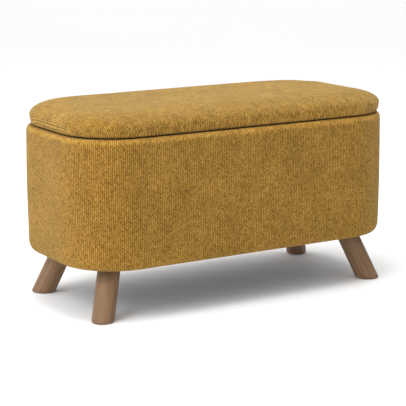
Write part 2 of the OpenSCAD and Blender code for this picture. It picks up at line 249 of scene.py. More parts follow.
def add_thickness(obj, amount):
    """Gives a single skin a second side, amount along its normals, and closes its edges."""
    mesh = obj.data
    n = len(mesh.vertices)
    co = read_vectors(mesh.vertices, "co")
    faces = [tuple(p.vertices) for p in mesh.polygons]
    normals = np.zeros((n, 3))
    for f in faces:
        a, b, c = co[f[0]], co[f[1]], co[f[2]]
        across = np.cross(b - a, c - a)
        if len(f) == 4:
            across = across + np.cross(c - a, co[f[3]] - a)
        for v in f:
            normals[v] += across
    normals /= np.maximum(np.linalg.norm(normals, axis=1), 1e-12)[:, None]
    seen = {}
    for f in faces:
        for i in range(len(f)):
            seen[(f[i], f[(i + 1) % len(f)])] = True
    sides = []
    for a, b in seen:
        if (b, a) not in seen:
            sides.append((b, a, a + n, b + n))
    out = faces + [tuple(v + n for v in f)[::-1] for f in faces] + sides
    if amount > 0:
        out = [f[::-1] for f in out]
    fresh = bpy.data.meshes.new(mesh.name)
    fresh.from_pydata([tuple(v) for v in np.concatenate([co, co + normals * amount])], [], out)
    obj.data = fresh
    if mesh.uv_layers:
        uv = np.zeros(len(mesh.loops) * 2)
        mesh.uv_layers["cloth"].data.foreach_get("uv", uv)
        per_vertex = np.zeros((n, 2))
        per_vertex[loop_vertices(mesh)] = uv.reshape(-1, 2)
        set_uv(obj, np.concatenate([per_vertex, per_vertex]))
    fresh.shade_smooth()
    bpy.data.meshes.remove(mesh)


def apply_modifiers(obj):
    depsgraph = bpy.context.evaluated_depsgraph_get()
    shaped = obj.evaluated_get(depsgraph)
    mesh = bpy.data.meshes.new_from_object(shaped, preserve_all_data_layers=True, depsgraph=depsgraph)
    obj.modifiers.clear()
    old = obj.data
    obj.data = mesh
    bpy.data.meshes.remove(old)


def soft_noise(points, scale, seed):
    """Smooth noise from -1 to 1 at each point."""
    off = Vector((seed * 3.1, seed * 7.7, seed * 1.3))
    return np.array([noise.noise(Vector(p) * scale + off) for p in points])


def slackness(x, y, coarse, fine):
    """How slack a flat cloth lies at a point, from two noises given as (scale, seed)."""
    wide = noise.noise(Vector((x * coarse[0], y * coarse[0], coarse[1])))
    return wide + 0.5 * noise.noise(Vector((x * fine[0], y * fine[0], fine[1])))


def paint(obj, mat):
    obj.data.materials.clear()
    obj.data.materials.append(mat)
    return obj


def stand_in(obj, mat, body, node):
    """Paints a piece that rides on a body and stands for a CAD node."""
    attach(paint(obj, mat), body)
    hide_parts(node)
    return obj


# ---- materials ----


class Nodes:
    """The node tree of one material or world, with short calls for the nodes it is made of."""

    def __init__(self, owner):
        owner.use_nodes = True
        self.tree = owner.node_tree

    def put(self, value, socket):
        """Sets a socket to a number, vector or colour, or links it to a node's output."""
        if isinstance(value, bpy.types.NodeSocket):
            self.tree.links.new(value, socket)
        elif socket.type == "RGBA":
            socket.default_value = (*value, 1)
        else:
            socket.default_value = value

    def add(self, kind, **values):
        """A shader node with its properties and inputs set by name."""
        node = self.tree.nodes.new("ShaderNode" + kind)
        for key, value in values.items():
            if key in node.inputs:
                self.put(value, node.inputs[key])
            else:
                setattr(node, key, value)
        return node

    def math(self, operation, *values):
        node = self.add("Math", operation=operation)
        for value, socket in zip(values, node.inputs):
            self.put(value, socket)
        return node.outputs[0]

    def plus(self, a, b):
        return self.math("ADD", a, b)

    def times(self, a, b):
        return self.math("MULTIPLY", a, b)

    def fitted(self, a, gain, offset):
        """a times gain, plus offset."""
        return self.plus(self.times(a, gain), offset)

    def centred(self, a):
        """A value from 0 to 1, moved to lie about 0."""
        return self.math("SUBTRACT", a, 0.5)

    def axis(self, vector, letter):
        return self.add("SeparateXYZ", Vector=vector).outputs[letter]

    def mapped(self, place, scale, turn=(0, 0, 0)):
        return self.add("Mapping", Vector=place, Scale=scale, Rotation=turn).outputs["Vector"]

    def noise(self, place, scale, detail=2.0, rough=0.5, distortion=0.0):
        """Noise from 0 to 1 with features 1/scale metres long; three scales stretch it."""
        if isinstance(scale, tuple):
            place, scale = self.mapped(place, scale), 1.0
        values = {"Scale": scale, "Detail": detail, "Roughness": rough, "Distortion": distortion}
        return self.add("TexNoise", Vector=place, **values).outputs["Fac"]

    def ramp(self, source, *stops):
        """A colour ramp over source, from (place, colour) stops; a number as the colour is a grey."""
        node = self.add("ValToRGB", Fac=source)
        marks = node.color_ramp.elements
        while len(marks) < len(stops):
            marks.new(0.5)
        for mark, (place, colour) in zip(marks, stops):
            mark.position = place
            mark.color = (*colour, 1) if isinstance(colour, tuple) else (colour, colour, colour, 1)
        return node.outputs["Color"]

    def between(self, source, low, high):
        """A ramp from low to high over the range that a noise usually covers."""
        return self.ramp(source, (0.3, low), (0.7, high))

    def mix(self, mode, factor, a, b):
        node = self.add("Mix", data_type="RGBA", blend_type=mode, Factor=factor, A=a, B=b)
        return node.outputs["Result"]

    def tinted(self, colour, tint):
        return self.mix("MULTIPLY", 1.0, colour, tint)

    def yarns(self, along, pitch):
        """Height 0 to 1 of round yarns laid side by side, and their running number."""
        scaled = self.math("DIVIDE", along, pitch)
        arch = self.math("ABSOLUTE", self.math("SINE", self.times(scaled, math.pi)))
        return self.math("POWER", arch, 0.7), self.math("FLOOR", scaled)

    def over_under(self, along, pitch, number, phase):
        """1 where a yarn lies on top and 0 where it dips, alternating with the number of the yarn."""
        turn = self.times(self.math("DIVIDE", along, pitch), math.pi)
        turn = self.plus(turn, self.times(number, math.pi))
        return self.fitted(self.math("SINE", self.plus(turn, phase)), 0.5, 0.5)


class Paint(Nodes):
    """A material being built, with its place on the object in metres."""

    def __init__(self, name):
        self.mat = bpy.data.materials.new(name)
        super().__init__(self.mat)
        self.shader = self.tree.nodes["Principled BSDF"]
        self.place = self.add("TexCoord").outputs["Object"]

    def done(self, colour, roughness, height, strength, depth, **constants):
        """Wires the shader up. A constant is named as its socket, with underscores for spaces."""
        bump = self.add("Bump", Strength=strength, Distance=depth, Height=height)
        inputs = self.shader.inputs
        self.put(colour, inputs["Base Color"])
        self.put(roughness, inputs["Roughness"])
        self.put(bump.outputs["Normal"], inputs["Normal"])
        for name, value in constants.items():
            self.put(value, inputs[name.replace("_", " ")])
        return self.mat


def scaled_colour(colour, *gains):
    """The colour times one gain, or times a gain for each channel, at most 1."""
    gains = gains if len(gains) == 3 else gains * 3
    return tuple(min(1.0, c * gain) for c, gain in zip(colour, gains))


def chenille(name, base, blotch, sheen, highlight_z=None):
    """Fuzzy yarns in an uneven plain weave: ribs along V a little prouder than the weft between them.

    The pile shades in patches, stronger with blotch. In a band just under the given height, along the
    box's top edge, the colour is paler: a painted highlight.
    """
    p = Paint(name)
    cloth = p.add("UVMap", uv_map="cloth").outputs["UV"]

    # The yarns wander by a few millimetres, swell and thin in slubs, and lean as the pile was stroked.
    u = p.plus(p.axis(cloth, "X"), p.times(p.noise(cloth, (90, 30, 1), 3), 2.6 * MM))
    v = p.plus(p.axis(cloth, "Y"), p.times(p.noise(cloth, (45, 100, 1), 3), 6.5 * MM))
    warp, warp_no = p.yarns(u, RIB)
    weft, weft_no = p.yarns(v, WEFT)
    slub = p.noise(cloth, (230, 250, 1), 2)
    slub_across = p.noise(cloth, (80, 240, 1), 2)
    stroke = p.noise(cloth, (70, 62, 1), 3, 0.6)
    warp_up = p.over_under(v, WEFT, warp_no, 0.0)
    weft_up = p.over_under(u, RIB, weft_no, math.pi / 2)
    cell = p.add("CombineXYZ", X=warp_no, Y=weft_no)
    chance = p.add("TexWhiteNoise", noise_dimensions="2D", Vector=cell.outputs[0])
    chance = p.centred(chance.outputs["Value"])
    lean = p.plus(p.times(p.centred(stroke), 0.9), p.times(chance, 0.45))

    warp_h = p.times(warp, p.fitted(warp_up, 0.26, 0.76))
    warp_h = p.times(warp_h, p.fitted(lean, 0.75, 1.0))
    warp_h = p.times(warp_h, p.fitted(slub, 1.2, 0.38))
    weft_h = p.times(weft, p.fitted(weft_up, 0.44, 0.27))
    weft_h = p.times(weft_h, p.fitted(lean, -0.85, 0.90))
    weft_h = p.times(weft_h, p.plus(slub_across, 0.50))
    fuzz = p.noise(cloth, (520, 520, 1), 3, 0.65)
    height = p.math("MAXIMUM", warp_h, weft_h)
    height = p.plus(height, p.times(p.centred(fuzz), 0.55))

    # Painted highlight on the tops of the yarns and painted shade in the gaps between them, from the
    # weave's height; knots and single cells differ a little at random.
    knots = p.noise(cloth, (210, 210, 1), 2, 0.5)
    shade = p.plus(height, p.times(p.centred(knots), 0.45))
    shade = p.plus(shade, p.times(chance, 0.20))
    dark = scaled_colour(base, 0.30, 0.25, 0.15)
    light = scaled_colour(base, 1.75, 1.85, 2.5)
    colour = p.ramp(shade, (0.12, dark), (0.56, base), (0.98, light))

    pile = p.noise(p.place, (17, 17, 12), 3, 0.6, 0.4)
    colour = p.tinted(colour, p.ramp(pile, (0.30, (0.88, 0.87, 0.82)), (0.70, (1.10, 1.10, 1.13))))
    cloudy = p.noise(p.place, (60, 60, 45), 4, 0.68, 0.6)
    low, high = [tuple(1 + (c - 1) * blotch for c in t) for t in ((0.90, 0.89, 0.85), (1.09, 1.10, 1.12))]
    colour = p.tinted(colour, p.ramp(cloudy, (0.32, low), (0.70, high)))
    # Painted highlight: a paler band just under the box's top edge, where that edge catches the light.
    if highlight_z is not None:
        highlight_span = {"From Min": highlight_z - 12 * MM, "From Max": highlight_z + 2 * MM}
        band = p.add("MapRange", Value=p.axis(p.place, "Z"), **highlight_span).outputs["Result"]
        highlight_gain = (1.42, 1.46, 1.55)
        painted_highlight = p.ramp(band, (0.05, 1.0), (0.55, highlight_gain), (0.86, highlight_gain), (0.97, 1.0))
        colour = p.tinted(colour, painted_highlight)
    return p.done(
        colour,
        roughness=p.between(fuzz, 0.95, 0.80),
        height=height,
        strength=0.95,
        depth=1.4 * MM,
        Sheen_Weight=sheen,
        Sheen_Roughness=0.5,
        Sheen_Tint=(1.0, 0.95, 0.52),
        Specular_IOR_Level=0.08,
    )


def washed_oak(name, turn, shift):
    """Oak under a thin wash, with painted shade that darkens it towards the top of the leg.

    turn brings the grain upright, and shift picks the piece of the plank.
    """
    pale, mid, dark = (0.292, 0.160, 0.070), (0.216, 0.110, 0.044), (0.112, 0.053, 0.020)
    wash_colour, painted_shade_tint = (0.54, 0.48, 0.40), (0.56, 0.52, 0.47)

    def grain(gain):
        """The noise scale across and along the grain, gain times the plain one."""
        return tuple(s * gain for s in (38, 38, 2.2))

    p = Paint(name)
    plank = p.add("VectorMath", operation="ADD")
    p.put(p.mapped(p.place, (1, 1, 1), turn), plank.inputs[0])
    p.put(shift, plank.inputs[1])
    plank = plank.outputs[0]
    bend = p.noise(plank, grain(0.25), 2)
    streak = p.noise(plank, grain(1.4), 5, 0.55, 0.8)
    pores = p.noise(plank, grain(9), 3, 0.6)
    rings = p.add("TexWave", bands_direction="X", Scale=1.0, Distortion=3.5, Detail=2.0)
    p.put(p.mapped(plank, grain(0.8)), rings.inputs["Vector"])
    figure = p.plus(p.times(streak, 0.72), p.times(rings.outputs["Fac"], 0.10))
    figure = p.plus(figure, p.times(bend, 0.18))
    colour = p.ramp(figure, (0.28, dark), (0.50, mid), (0.74, pale))
    colour = p.mix("MULTIPLY", 0.5, colour, p.ramp(pores, (0.36, 0.50), (0.55, 1.0)))
    wash = p.noise(plank, (14, 14, 9), 3)
    colour = p.mix("MIX", p.times(wash, 0.07), colour, wash_colour)
    # Painted shade: the colour darkens towards the head of the leg, where the box above shades it.
    share = p.math("DIVIDE", p.axis(p.place, "Z"), BODY_LO.z)
    colour = p.tinted(colour, p.ramp(share, (0.70, 1.0), (0.98, painted_shade_tint)))
    rough = p.between(pores, 0.72, 0.50)
    return p.done(colour, rough, p.plus(figure, pores), 0.35, 0.6 * MM)


def plywood(name):
    """Birch ply: fine grain along X, and thin layers seen on its edges."""
    p = Paint(name)
    streak = p.noise(p.place, (3, 45, 45), 5, 0.6, 0.4)
    layers = p.add("TexWave", bands_direction="Z", Scale=1.0, Distortion=0.4, Detail=1.0)
    p.put(p.mapped(p.place, (2, 2, 105)), layers.inputs["Vector"])
    dark, mid, pale = (0.50, 0.36, 0.20), (0.66, 0.50, 0.31), (0.74, 0.60, 0.40)
    colour = p.ramp(streak, (0.30, dark), (0.55, mid), (0.75, pale))
    facing_up = p.axis(p.add("NewGeometry").outputs["Normal"], "Z")
    edge = p.math("LESS_THAN", p.math("ABSOLUTE", facing_up), 0.5)
    banded = p.tinted(colour, p.between(layers.outputs["Fac"], (0.60, 0.52, 0.44), 1.0))
    colour = p.mix("MIX", edge, colour, banded)
    return p.done(colour, p.between(streak, 0.8, 0.62), streak, 0.25, 0.4 * MM)


def fibreboard(name):
    """Pressed board: fine flecks of fibre, slightly cloudy."""
    p = Paint(name)
    fleck = p.noise(p.place, 700.0, 4, 0.7)
    cloud = p.noise(p.place, 14.0, 3)
    dark, mid, pale = (0.30, 0.20, 0.12), (0.45, 0.32, 0.20), (0.58, 0.44, 0.30)
    colour = p.ramp(fleck, (0.30, dark), (0.52, mid), (0.75, pale))
    colour = p.tinted(colour, p.between(cloud, 0.88, 1.06))
    return p.done(colour, p.between(fleck, 0.9, 0.75), fleck, 0.2, 0.3 * MM)


def nonwoven(name, base):
    """Black spunbond cloth: a fine pressed dot pattern over tangled fibres."""
    p = Paint(name)
    dots = p.add("TexVoronoi", Vector=p.place, Scale=420.0, Randomness=0.25)
    fibres = p.noise(p.place, 1500.0, 4, 0.7)
    cloud = p.noise(p.place, 18.0, 3)
    height = p.plus(p.times(dots.outputs["Distance"], 0.9), p.times(fibres, 0.5))
    colour = p.between(fibres, scaled_colour(base, 0.6), scaled_colour(base, 1.7))
    colour = p.tinted(colour, p.between(cloud, 0.8, 1.2))
    rough = p.between(fibres, 0.92, 0.72)
    return p.done(colour, rough, height, 0.5, 0.6 * MM, Sheen_Weight=0.25)


def foam(name, base, pore):
    """Cut foam or wadding: small cells, pore of them to the metre, slightly cloudy."""
    p = Paint(name)
    cells = p.add("TexVoronoi", Vector=p.place, Scale=pore).outputs["Distance"]
    cloud = p.noise(p.place, 30.0, 3)
    colour = p.ramp(cells, (0.0, scaled_colour(base, 0.72)), (0.5, base))
    colour = p.tinted(colour, p.between(cloud, 0.9, 1.05))
    return p.done(colour, p.between(cloud, 0.95, 0.85), cells, 0.5, 0.8 * MM)


def steel(name, base, rough, brushed=(900, 60, 60)):
    """Plated steel with fine brushing, dull patches and slight tarnish."""
    p = Paint(name)
    lines = p.noise(p.place, brushed, 3, 0.6)
    patch = p.noise(p.place, 70.0, 3)
    colour = p.between(lines, scaled_colour(base, 0.86), base)
    colour = p.tinted(colour, p.ramp(patch, (0.3, (0.86, 0.85, 0.83)), (0.65, 1.0)))
    shine = p.plus(p.times(lines, 0.16), p.times(patch, 0.18))
    return p.done(colour, p.plus(shine, rough - 0.16), lines, 0.12, 0.2 * MM, Metallic=1.0)


def moulded(name, base, rough):
    """Moulded plastic or rubber: fine spark texture and scuffs."""
    p = Paint(name)
    grain = p.noise(p.place, 1100.0, 3, 0.6)
    scuff = p.noise(p.place, (60, 140, 90), 4, 0.7, 1.0)
    worn = tuple(c * 2.2 + 0.01 for c in base)
    colour = p.ramp(scuff, (0.42, base), (0.75, worn))
    return p.done(colour, p.between(scuff, rough, rough + 0.2), grain, 0.3, 0.3 * MM)


# Painted light: the lid's cloth is the same fabric as the box's, with its base colour made lighter for the
# stronger light on the lid's top.
BOX_CLOTH = chenille("box_chenille", (0.248, 0.127, 0.0183), blotch=0.6, sheen=0.17, highlight_z=BODY_HI.z)
LID_CLOTH = chenille("lid_chenille", (0.270, 0.141, 0.021), blotch=2.3, sheen=0.25)
PLY = plywood("birch_ply")
BOARD = fibreboard("fibreboard")
LINING = nonwoven("black_lining", (0.018, 0.018, 0.020))
UNDERCLOTH = nonwoven("black_nonwoven", (0.022, 0.022, 0.024))
WADDING = foam("wadding", (0.86, 0.85, 0.80), 900.0)
SEAT_FOAM = foam("seat_foam", (0.84, 0.80, 0.64), 600.0)
STAY_STEEL = steel("stay_steel", (0.62, 0.62, 0.63), 0.36, brushed=(60, 900, 60))
HINGE_STEEL = steel("hinge_steel", (0.46, 0.455, 0.45), 0.42)
ZINC = steel("zinc_screws", (0.70, 0.69, 0.66), 0.38, brushed=(300, 300, 300))
GLIDE = moulded("glide_plastic", (0.02, 0.02, 0.02), 0.55)
RUBBER = moulded("bumper_rubber", (0.015, 0.015, 0.015), 0.75)


# ---- box upholstery ----


def body_profile():
    """The box cover's outer skin, from the turned-in edge up, out, down and under."""
    top, low = BODY_HI.z, BODY_LO.z
    out = BODY_HI.y - MID_Y
    lip = RIM_U - FABRIC
    lip_r = 2 * MM
    edge_u, edge_z = 10 * MM, 12 * MM
    foot_u, foot_z = 12 * MM, 20 * MM
    crest_rise = 1.4 * MM
    bulge = 1.2 * MM
    sag = 0.7 * MM
    p = [(lip, RAIL_LO.z)]
    p += line(p[-1], (lip, top - lip_r), 5)
    p += arc(lip + lip_r, top - lip_r, lip_r, lip_r, 180, 90, 3)[1:]
    crest = top + crest_rise
    for i in range(1, 7):
        t = i / 6
        p.append((lip + lip_r + (out - edge_u - lip - lip_r) * t, top + (crest - top) * t * t))
    p += arc(out - edge_u, top - edge_z, edge_u, edge_z + crest - top, 90, 0, 12)[1:]
    wall_hi, wall_lo = top - edge_z, low + foot_z
    rows = 26
    for i in range(1, rows + 1):
        t = i / rows
        p.append((out + bulge * math.sin(math.pi * t), wall_hi + (wall_lo - wall_hi) * t))
    p += arc(out - foot_u, low + foot_z, foot_u, foot_z + sag, 0, -90, 10)[1:]
    p += line(p[-1], (out - foot_u - 4 * MM, low), 2)
    p += line(p[-1], (COVER_END_U, low), 4)
    return p


def uneven_wall(points, run, u):
    """A slow swell from the wadding, and the dip of the seam up the rear."""
    on_wall = (u > CORNER_R - 14 * MM) * 1.0
    slow = soft_noise(points, 9.0, 1) * 0.9 + soft_noise(points, 26.0, 2) * 0.35
    _, direction, _ = plan_split(points[:, :2])
    seam = (run < 0.5 * MM) * 1.8 * MM
    points[:, :2] += direction * ((slow * 0.7 * MM - seam) * on_wall)[:, None]
    return points


def uneven_wadding(points, run, u):
    """The wadding's outer side follows the cover's swell and dips with its seam; its back stays put."""
    moved = uneven_wall(points.copy(), run, u)
    return np.where((u > WOOD_U + 1 * MM)[:, None], moved, points)


def make_box_cover():
    outer = body_profile()
    inner = inset(outer, -FABRIC)
    obj = swept("box_cover", outer + inner[::-1][::3], 480, uneven_wall)
    stand_in(obj, BOX_CLOTH, "carcass", "body_cover")


def make_wadding():
    """The wadding strip between the panels and the cover."""
    outer = [q for q in inset(body_profile(), -FABRIC - 0.3 * MM) if q[0] > WOOD_U + 0.5 * MM]
    back_u = WOOD_U + 0.4 * MM
    back = [(back_u, outer[-1][1] + 0.5 * MM), (back_u, outer[0][1] - 0.5 * MM)]
    obj = swept("box_wadding", outer + back, 240, uneven_wadding)
    stand_in(obj, WADDING, "carcass", "body_foam")


# ---- lid upholstery ----


def crown_height(u):
    """Height of the lid's upper surface at u, before the cloth is simulated."""
    share = np.clip(u / LID_U, 0, 1)
    return SIDE_Z + CROWN * (1 - share**3.4) ** 0.52


def lid_edge_profile(start_u, shrink):
    """The lid from start_u on its upper surface, out over the edge and under to its tucked edge."""
    p = []
    begin = math.acos(start_u / LID_U)
    steps = 18
    for i in range(steps + 1):
        u = LID_U * math.cos(begin * (1 - i / steps))
        p.append((u - shrink, float(crown_height(u)) - shrink))
    p[-1] = (LID_U - shrink, SIDE_Z)
    foot = LID_LO.z - 0.7 * MM + shrink
    taper = 1.2 * MM
    p += line(p[-1], (LID_U - taper - shrink, foot + FOOT_Z), 3)
    p += arc(LID_U - FOOT_U - shrink, foot + FOOT_Z, FOOT_U - taper, FOOT_Z, 0, -90, 8)[1:]
    return p


def disc_to_plan(a, b, u):
    """Carries a square grid onto the rounded plan outline at u, by way of a disc."""
    x = a * np.sqrt(1 - b * b / 2)
    y = b * np.sqrt(1 - a * a / 2)
    rho = np.hypot(x, y)
    safe = np.maximum(rho, 1e-9)
    dx, dy = x / safe * (MID_X + u), y / safe * (MID_Y + u)
    low, high = np.zeros_like(dx), np.full_like(dx, 1.5)
    for _ in range(40):
        t = (low + high) / 2
        _, _, reach = plan_split(np.stack([dx * t, dy * t], axis=1))
        outside = reach > u
        high = np.where(outside, t, high)
        low = np.where(outside, low, t)
    return np.stack([dx * low * rho, dy * low * rho], axis=1)


def plan_grid(nx, ny, u):
    """A grid filling the plan out to u: its points, its quads and its outer ring, anticlockwise."""
    a, b = np.meshgrid(np.linspace(-1, 1, nx + 1), np.linspace(-1, 1, ny + 1), indexing="ij")
    xy = disc_to_plan(a.ravel(), b.ravel(), u)
    index = np.arange((nx + 1) * (ny + 1)).reshape(nx + 1, ny + 1)
    faces = np.stack([index[:-1, :-1], index[1:, :-1], index[1:, 1:], index[:-1, 1:]], axis=-1)
    ring = list(index[:, 0]) + list(index[-1, 1:]) + list(index[-2::-1, -1]) + list(index[0, -2:0:-1])
    return xy, faces.reshape(-1, 4).tolist(), ring


def settled(verts):
    """The cushion as it was pulled and has been sat on: shifted to the right, and lowest at the right end.

    What lies under or right beside the board doesn't shift. share is 0 at the left end and 1 at the right.
    """
    _, _, u = plan_split(verts[:, :2])
    share = (verts[:, 0] - LID_LO.x) / (LID_HI.x - LID_LO.x)
    beside = np.clip((u - BOARD_U - 0.5 * MM) / (3 * MM), 0, 1)
    loose = np.where(verts[:, 2] > BOARD_HI.z + 2 * MM, 1.0, beside)
    drop = 2.3 * MM * eased(share, 0.02, 0.14) + 2.2 * MM * eased(share, 0.72, 0.93)
    out = verts.copy()
    out[:, 0] += (1.2 + 3.8 * share) * MM * loose
    out[:, 2] -= drop * np.clip((verts[:, 2] - SIDE_Z) / CROWN, 0, 1)
    return out


def lid_mesh(name, nx, ny, shrink, tail, capped=False):
    """The lid's skin: a grid on top, rings over the edge and through the tail, closed if capped."""
    start_u = LID_U - FLAT_TOP_IN
    xy, faces, ring = plan_grid(nx, ny, start_u - shrink)
    _, _, u = plan_split(xy)
    points = [np.column_stack([xy, crown_height(u + shrink) - shrink])]
    centre, direction, _ = plan_split(xy[ring])
    profile = lid_edge_profile(start_u, shrink)[1:]
    for corner, steps in tail:
        profile += line(profile[-1], corner, steps)
    last = ring
    count = len(xy)
    for u_at, z_at in profile:
        points.append(np.column_stack([centre + direction * u_at, np.full(len(ring), z_at)]))
        now = list(range(count, count + len(ring)))
        count += len(ring)
        for k in range(len(ring)):
            m = (k + 1) % len(ring)
            faces.append((last[m], last[k], now[k], now[m]))
        last = now
    if capped:
        u_end, z_end = profile[-1]
        xy, inner, inner_ring = plan_grid(nx, ny, u_end)
        keep = np.ones(len(xy), bool)
        keep[inner_ring] = False
        number = np.zeros(len(xy), int)
        number[keep] = count + np.arange(keep.sum())
        number[inner_ring] = last
        points.append(np.column_stack([xy[keep], np.full(keep.sum(), z_end)]))
        faces += [tuple(number[list(f)])[::-1] for f in inner]
    faces = [tuple(int(v) for v in f) for f in faces]
    verts = settled(np.concatenate(points))
    return make_object(name, verts, faces), verts


def cloth_map(verts):
    """The cloth laid flat: plan directions from the middle, and lengths along the surface."""
    centre, direction, u = plan_split(verts[:, :2])
    drop = np.clip(LID_HI.z - verts[:, 2], 0, None)
    length = u + 0.75 * np.clip(drop - 6 * MM, 0, None)
    under = verts[:, 2] < LID_LO.z + 1 * MM
    length = np.where(under, 2 * LID_U - u + 20 * MM, length)
    return centre + direction * length[:, None]


def simulate_cloth(obj, pinned, pressure, frames, cap):
    """Inflates the cloth from its pinned edge.

    The foam under it lets each point rise along its normal by cap at most, and sink a quarter as far.
    """
    mesh = obj.data
    start = read_vectors(mesh.vertices, "co")
    group = obj.vertex_groups.new(name="pin")
    group.add([int(i) for i in np.nonzero(pinned)[0]], 1.0, "REPLACE")
    mod = obj.modifiers.new("cloth", "CLOTH")
    s = mod.settings
    s.quality = 5
    s.mass = 0.25
    s.tension_stiffness = s.compression_stiffness = 30
    s.shear_stiffness = 12
    s.bending_stiffness = 1.5
    s.vertex_group_mass = "pin"
    s.use_pressure = True
    s.uniform_pressure_force = pressure
    s.effector_weights.gravity = 0
    mod.collision_settings.use_collision = False
    mod.point_cache.frame_start = 1
    mod.point_cache.frame_end = frames
    scene = bpy.context.scene
    for f in range(1, frames + 1):
        scene.frame_set(f)
    shaped = obj.evaluated_get(bpy.context.evaluated_depsgraph_get())
    end = read_vectors(shaped.data.vertices, "co")
    obj.modifiers.remove(mod)
    scene.frame_set(1)
    normals = read_vectors(mesh.vertex_normals, "vector")
    swell = ((end - start) * normals).sum(axis=1)
    soft = 10 * MM
    rise = cap * (1 - np.exp(-np.maximum(swell, 0) / soft))
    sink = 0.25 * cap * (1 - np.exp(np.minimum(swell, 0) / soft))
    mesh.vertices.foreach_set("co", (start + normals * (rise - sink)[:, None]).ravel())
    mesh.update()
    obj.vertex_groups.clear()


def make_lid_cover():
    shrink = 0.3 * MM
    tail = [((LID_COVER_END_U, LID_LO.z + shrink), 6)]
    obj, verts = lid_mesh("lid_cushion", 86, 40, shrink, tail)
    pinned = verts[:, 2] < LID_LO.z + 2 * MM
    simulate_cloth(obj, pinned, pressure=4.0, frames=14, cap=1.8 * MM)
    set_uv(obj, cloth_map(verts))
    add_thickness(obj, -FABRIC)
    smooth = obj.modifiers.new("smooth", "SUBSURF")
    smooth.levels = smooth.render_levels = 1
    apply_modifiers(obj)
    obj.data.shade_smooth()
    stand_in(obj, LID_CLOTH, "lid", "lid_cover")


def make_seat_foam():
    """The moulded foam over the lid board, hollow underneath where the board sits."""
    side = BOARD_U + 0.4 * MM
    tail = [((side, BOARD_LO.z + 0.6 * MM), 2), ((side, BOARD_HI.z + 0.3 * MM), 2)]
    obj, _ = lid_mesh("seat_foam", 56, 26, 3.6 * MM, tail, capped=True)
    stand_in(obj, SEAT_FOAM, "lid", "lid_foam")


# ---- legs ----


def make_leg(node, sx, sy):
    """A turned round leg, splayed outward, cut level at both ends, with its edges eased."""
    foot, top = (corner.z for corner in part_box(node))
    lean = Vector((sx * LEG_SPLAY, sy * LEG_SPLAY, -1)).normalized()
    head = Vector((sx * LEG_HEAD.x, sy * LEG_HEAD.y, LEG_HEAD.z))
    side = Vector((0, 0, 1)).cross(lean).normalized()
    front = side.cross(lean).normalized()
    low = foot + 1.8 * MM
    steps = 12
    levels = [(top, 0.955), (top - 0.6 * MM, 0.985), (top - 1.6 * MM, 1.0)]
    levels += [(top + (low - top) * i / steps, 1.0) for i in range(1, steps)]
    levels += [(low, 1.0), (foot + 0.7 * MM, 0.982), (foot, 0.945)]
    around = 72
    verts = []
    for z, scale in levels:
        for k in range(around):
            a = 2 * math.pi * k / around
            p = head + (side * math.cos(a) + front * math.sin(a)) * LEG_RADIUS * scale
            verts.append(p + lean * ((p.z - z) / -lean.z))
    faces = net_faces(len(levels), around, close_columns=True)
    faces.append(tuple(range(around))[::-1])
    faces.append(tuple(range(len(verts) - around, len(verts))))
    upright = Matrix((side, front, lean)).to_euler()
    oak = washed_oak("oak_" + node, upright, (sx * 0.4, sy * 0.7, sx + sy))
    stand_in(make_object(node + "_oak", verts, faces), oak, "carcass", node)


def make_legs():
    for row, sy in (("front", -1), ("rear", 1)):
        for side, sx in (("left", -1), ("right", 1)):
            make_leg(f"leg_{row}_{side}", sx, sy)


# ---- flat cloths; a rectangle is (x0, x1, y0, y1) in plan ----


def plan_outline(u, spacing):
    """Points round the plan at u, anticlockwise, about spacing apart."""
    centres, normals, _, _ = plan_columns(columns_for(u, spacing), u)
    return centres + normals * u


def wall_posts(gap):
    """Rectangles of the battens and stay posts, grown by gap."""
    batten_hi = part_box("joint_battens")[1]
    post_lo, post_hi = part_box("stay_posts")
    joint_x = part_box("front_panel")[1].x
    half = batten_hi.x - joint_x + gap
    face_y = MID_Y + RIM_U - gap
    face_x = MID_X + RIM_U - gap
    out = []
    for sx in (-1, 1):
        for sy in (-1, 1):
            ys = sorted((sy * face_y, sy * (batten_hi.y + gap)))
            out.append((sx * joint_x - half, sx * joint_x + half, *ys))
        xs = sorted((sx * face_x, sx * (post_hi.x + gap)))
        out.append((*xs, post_lo.y - gap, post_hi.y + gap))
    return out


def in_rectangle(r, p):
    return r[0] < p[0] < r[1] and r[2] < p[1] < r[3]


def lining_path(u, gap):
    """The plan path of the lining against the walls, anticlockwise, stepping round battens and posts."""
    path = []
    inside = None
    posts = wall_posts(gap)
    for p in plan_outline(u, 4.5 * MM):
        hit = next((r for r in posts if in_rectangle(r, p)), None)
        if hit != inside:
            path += post_corner(hit or inside, p, entering=hit is not None)
            inside = hit
        path.append(tuple(p) if hit is None else pulled_to_face(hit, p))
    return path


def faces_x(r):
    """True for a post at an end of the box, whose inner face looks along X."""
    return (r[1] - r[0]) < (r[3] - r[2])


def pulled_to_face(r, p):
    """The point of a post's inner face that stands for the wall point p behind it."""
    if faces_x(r):
        return (r[1] if p[0] < 0 else r[0], p[1])
    return (p[0], r[3] if p[1] < 0 else r[2])


def post_corner(r, p, entering):
    """The two corners where the cloth turns onto a post's side and then its face, or back."""
    if faces_x(r):
        wall = (p[0], min(r[2:], key=lambda y: abs(p[1] - y)))
    else:
        wall = (min(r[:2], key=lambda x: abs(p[0] - x)), p[1])
    face = pulled_to_face(r, wall)
    return [wall, face] if entering else [face, wall]


def path_normals(path):
    """Unit directions at each path point, towards the inside of the loop."""
    p = np.array(path)
    d = np.roll(p, -1, axis=0) - np.roll(p, 1, axis=0)
    d /= np.maximum(np.linalg.norm(d, axis=1), 1e-9)[:, None]
    return np.stack([-d[:, 1], d[:, 0]], axis=1)


